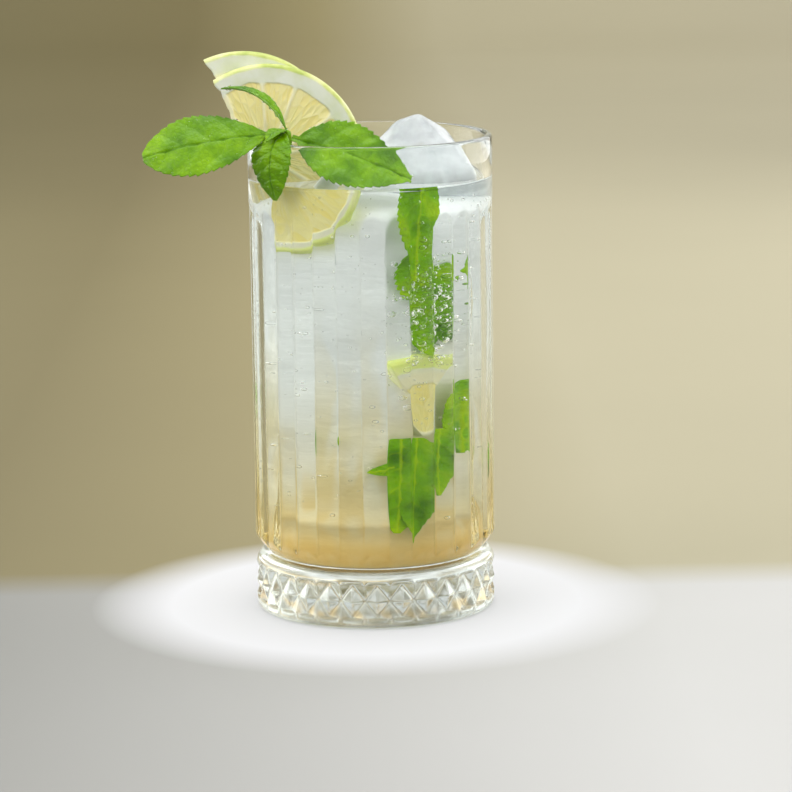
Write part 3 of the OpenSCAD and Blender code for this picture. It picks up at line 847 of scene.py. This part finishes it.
# Leaf in the air: its sheet carried from its foot toward its tip, with a face normal and a side.
def sprigLeaf(leaf, rows, cols, seed):
    s, wide, lift, vein = leafSheet(leaf, rows, cols, seed)
    start, end = np.array(leaf["from"], float), np.array(leaf["to"], float)
    along = (end - start) / np.linalg.norm(end - start)
    face = np.array(leaf["toward"], float)
    face -= along * (along @ face)
    face /= np.linalg.norm(face)
    side = np.cross(face, along)
    top = start + (end - start) * s[..., None] + side * wide[..., None] + face * lift[..., None]
    thin = mintShape["thick"] * (1 - 0.6 * np.abs(np.linspace(-1, 1, cols)) ** 4)[None, :, None]
    return closeLoop(top - face * thin, top, {"vein": vein})


# Leaf against the inside of the wall: places along it are angle and height, and the lift is inward.
def sunkLeaf(leaf, rows, cols, seed):
    s, wide, lift, vein = leafSheet(leaf, rows, cols, seed)
    start, end = np.array(leaf["from"], float), np.array(leaf["to"], float)
    start[0], end[0] = np.radians(start[0]) * innerR, np.radians(end[0]) * innerR
    along = (end - start) / np.linalg.norm(end - start)
    spot = start + (end - start) * s[..., None] + np.array([-along[1], along[0]]) * wide[..., None]
    spot[..., 1] = np.minimum(spot[..., 1], level - 0.8)
    angle = spot[..., 0] / innerR - np.pi / 2
    edge = wide / leaf["half"]
    out = innerR - leaf.get("inward", 0.8) - 0.6 * (lift - lift.min()) - leaf.get("roll", 0) * edge
    top, under = out, out - mintShape["thick"]

    def placed(r):
        return np.stack([r * np.cos(angle), r * np.sin(angle), spot[..., 1]], -1)

    return closeLoop(placed(under), placed(top), {"vein": vein})


sunkLeaves = [
    {"from": (27, 147), "to": (24, 108), "half": 7.6, "arch": -0.5, "fold": 0.1, "neck": 0.0, "roll": 0.8},
    {"from": (21, 120), "to": (36, 90), "half": 8.0, "arch": 1.5, "fold": 0.3, "neck": 0.0, "inward": 1.4},
    {"from": (52, 116), "to": (44, 88), "half": 7.0, "arch": 2, "fold": 0.25, "neck": 0.0, "inward": 2.2},
    {"from": (33, 108), "to": (31, 84), "half": 7.6, "arch": 1, "fold": 0.2, "neck": 0.0, "inward": 1.2},
    {"from": (24.5, 60), "to": (20, 25.5), "half": 6.6, "arch": -1, "fold": 0.22, "neck": 0.0},
    {"from": (14, 60), "to": (12.5, 29), "half": 6.0, "arch": -1, "fold": 0.2, "neck": 0.0, "inward": 1.6},
    {"from": (12, 50.5), "to": (-2.5, 49), "half": 2.2, "arch": 0.5, "fold": 0.1, "neck": 0.0, "inward": 2},
    {"from": (37, 62), "to": (36.5, 40), "half": 4.4, "arch": 1, "fold": 0.2, "neck": 0.0, "inward": 0.5},
    {"from": (45.5, 77), "to": (44, 46), "half": 2.8, "arch": 1, "fold": 0.2, "neck": 0.0},
    {"from": (56, 76), "to": (54, 52), "half": 2.6, "arch": 1, "fold": 0.2, "neck": 0.0, "inward": 1.5},
    {"from": (-33, 62), "to": (-35, 53), "half": 2.0, "arch": 0.5, "fold": 0.2, "neck": 0.0, "inward": 4},
    {"from": (-23, 59), "to": (-18, 58), "half": 1.5, "arch": 0.5, "fold": 0.2, "neck": 0.0, "inward": 3},
    {"from": (150, 120), "to": (165, 92), "half": 7.0, "arch": 1, "fold": 0.2, "neck": 0.0, "inward": 1.5},
    {"from": (-120, 70), "to": (-108, 44), "half": 7.5, "arch": 1, "fold": 0.2, "neck": 0.0, "inward": 1.2},
    {"from": (105, 66), "to": (92, 40), "half": 6.5, "arch": 1, "fold": 0.2, "neck": 0.0, "inward": 1.2},
    {"from": (-160, 52), "to": (-172, 28), "half": 6.5, "arch": 1, "fold": 0.2, "neck": 0.0, "inward": 1.4},
]


def mintMaterial(name, dark, mid, pale, veinAndCreaseShade, gloss):
    mat, tree = newMaterial(name)
    vector, xyz = objectPlace(tree)
    vein = addNode(tree, "ShaderNodeAttribute", {"attribute_name": "vein"}).outputs["Fac"]
    patch = addNode(tree, "ShaderNodeTexNoise", Vector=vector, Scale=110.0, Detail=4.0).outputs[0]
    cells = addNode(tree, "ShaderNodeTexVoronoi", {"feature": "DISTANCE_TO_EDGE"}, Vector=vector,
                    Scale=700.0).outputs["Distance"]
    green = rampNode(tree, patch, [(0.3, dark), (0.5, mid), (0.72, pale)])
    net = mapRange(tree, cells, 0.0, 0.12, 0.20, 0.0)
    green = mixColour(tree, net, green, (*dark, 1))
    # veins: on the sprig a dark green, painted shade in the vein grooves; on the sunk leaves a pale green,
    # their own lighter veins
    green = mixColour(tree, mapRange(tree, vein, 0.45, 1.0, 0.0, 0.55), green, (*veinAndCreaseShade, 1))
    fine = addNode(tree, "ShaderNodeTexNoise", Vector=vector, Scale=500.0, Detail=2.0).outputs[0]
    height = addNode(tree, "ShaderNodeMath", {"operation": "MULTIPLY_ADD"},
                     i0=mapRange(tree, cells, 0.0, 0.25), i1=0.3, i2=fine).outputs[0]
    relief = addNode(tree, "ShaderNodeBump", Height=height, Strength=0.5, Distance=0.0004).outputs[0]
    shader = addNode(tree, "ShaderNodeBsdfPrincipled", Base_Color=green, Roughness=0.30, Normal=relief,
                     Specular_IOR_Level=gloss, Coat_Weight=0.3 * gloss, Coat_Roughness=0.15)
    finishMaterial(tree, shader.outputs[0])
    return mat


# Round stem: a circle carried along a smooth path, with soft ridges, closed at both ends.
def stemTube(path, radius, cols=20):
    path = np.asarray(path, float)
    share = np.linspace(0, 1, 24)
    spot = np.stack([np.interp(share, np.linspace(0, 1, len(path)), path[:, k]) for k in range(3)], -1)
    turn = 2 * np.pi * np.arange(cols) / cols
    r = radius * (1 + 0.06 * np.cos(4 * turn))[None, :] * np.sqrt(
        np.clip(1 - np.abs(2 * share - 1) ** 14, 0, 1))[:, None]
    x = spot[:, None, 0] + r * np.cos(turn)
    y = spot[:, None, 1] + r * np.sin(turn)
    z = np.broadcast_to(spot[:, None, 2], x.shape)
    faces = gridFaces(24, cols, wrap=True)
    points = np.stack([x, y, z], -1).reshape(-1, 3)
    faces = np.where(faces < cols, 0, faces)
    faces = np.where(faces >= 23 * cols, 23 * cols, faces)
    return dropUnused(points, faces, {"vein": np.full(len(points), 0.3)})


dropShape = {"count": 640, "small": 0.15, "spread": 0.40}


# Fine spray on the sprig: small balls sunk to their middles in the skin of its first four leaves.
def makeDrops(parts):
    spots = np.concatenate([p[0] for p in parts[:4]])
    pick = rng.choice(len(spots), dropShape["count"], replace=False)
    size = dropShape["small"] + dropShape["spread"] * rng.random(len(pick)) ** 3
    points, faces = ballParts(spots[pick], size)
    mat, tree = newMaterial("waterDrop")
    shader = addNode(tree, "ShaderNodeBsdfPrincipled", Base_Color=(1, 1, 1, 1), Roughness=0.0, IOR=1.33,
                     Transmission_Weight=1.0)
    finishMaterial(tree, shader.outputs[0], lampsPass=(1, 1, 1, 1))
    addPiece("mint_drops", points, faces, mat)


def makeMint():
    parts = [sprigLeaf(leaf, 150, 60, 50 + 3 * k) for k, leaf in enumerate(leaves)]
    makeDrops(parts)
    foot = knot + (-1.0, 2.8, 0)
    parts.append(stemTube([(foot[0], foot[1], level + 1.4), (foot[0], foot[1], level + 8),
                           knot + (0.3, 0.5, -4), knot + (0, 0, 1.2)], mintShape["stem"]))
    points, faces, marks = joinParts(parts)
    # the sprig's dark vein green is painted shade in the grooves of its veins
    addPiece("mint_leaves", points, faces,
             mintMaterial("mintGreen", (0.055, 0.17, 0.0), (0.13, 0.31, 0.0), (0.23, 0.45, 0.0),
                          (0.045, 0.16, 0.0), 0.22), marks, replaces=["mint_sprig"])
    # The sunk leaves get lighter greens than the sprig: painted light that makes up for the shade they sit in
    # inside the drink; their pale veins are their own.
    parts = [sunkLeaf(leaf, 90, 40, 90 + 3 * k) for k, leaf in enumerate(sunkLeaves)]
    points, faces, marks = joinParts(parts)
    addPiece("mint_sunk", points, faces,
             mintMaterial("sunkMintLit", (0.07, 0.22, 0.0), (0.20, 0.48, 0.0), (0.42, 0.68, 0.0),
                          (0.52, 0.72, 0.0), 0.0), marks)


# bubbles and drops

bubbleShape = {"wall": 800, "mint": 520, "heart": 420, "size": (0.17, 0.60),
               "mintTurn": 32, "mintHeight": 98, "mintSpread": 9}


# Small balls of 8 by 6 faces at the given centres.
def ballParts(centres, sizes):
    up = np.linspace(-np.pi / 2, np.pi / 2, 7)[:, None]
    turn = 2 * np.pi * np.arange(8)[None, :] / 8
    ball = np.stack([np.cos(up) * np.cos(turn), np.cos(up) * np.sin(turn), np.sin(up) + 0 * turn], -1)
    ball[0], ball[-1] = (0, 0, -1), (0, 0, 1)
    faces = gridFaces(7, 8, wrap=True)
    faces = np.where(faces < 8, 0, faces)
    faces = np.where(faces >= 48, 48, faces)
    ball, faces, _ = dropUnused(ball.reshape(-1, 3), faces)
    points = centres[:, None, :] + sizes[:, None, None] * ball[None]
    every = faces[None] + len(ball) * np.arange(len(centres))[:, None, None]
    return points.reshape(-1, 3), every.reshape(-1, 4)


# Fizz: balls on the wall all round, crowded about the mint, and in front of the cloudy heart.
def makeBubbles():
    low, high = bubbleShape["size"]
    n = bubbleShape["wall"]
    size = low + (high - low) * rng.random(n) ** 3
    angle = rng.uniform(0, 2 * np.pi, n)
    z = floorZ + 14 + (level - floorZ - 15) * rng.random(n) ** 0.7
    out = wallR(z) - size - 0.3
    m = bubbleShape["mint"]
    sizeM = low + 1.9 * (high - low) * rng.random(m) ** 2.5
    spread = bubbleShape["mintSpread"]
    angleM = np.radians(rng.normal(bubbleShape["mintTurn"], spread, m)) - np.pi / 2
    zM = rng.normal(bubbleShape["mintHeight"], spread, m)
    outM = innerR - sizeM - 0.3 - rng.random(m) * 0.8
    h = bubbleShape["heart"]
    sizeH = low + (high - low) * rng.random(h) ** 2
    angleH = rng.uniform(0, 2 * np.pi, h)
    zH = rng.uniform(floorZ + 22, level - 4, h)
    outH = innerR - 2.5 - rng.random(h) * 2
    size = np.concatenate([size, sizeM, sizeH])
    angle = np.concatenate([angle, angleM, angleH])
    z = np.clip(np.concatenate([z, zM, zH]), floorZ + 6, level - 1.5)
    out = np.concatenate([out, outM, outH])
    centres = np.stack([out * np.cos(angle), out * np.sin(angle), z], -1)
    points, faces = ballParts(centres, size)
    mat, tree = newMaterial("fizz")
    shader = addNode(tree, "ShaderNodeBsdfPrincipled", Base_Color=(1, 1, 1, 1), Roughness=0.0, IOR=0.76,
                     Transmission_Weight=1.0)
    finishMaterial(tree, shader.outputs[0], lampsPass=(1, 1, 1, 1))
    addPiece("drink_fizz", points, faces, mat)


print("camera, room and light")
makeCamera()
makeRoom()
makeLight()
print("glass and drink")
makeGlass()
makeDrink()
makeCore()
print("ice")
makeIceTop()
makeSunkIce()
print("citrus")
makeCitrus()
print("mint")
makeMint()
print("fizz")
makeBubbles()
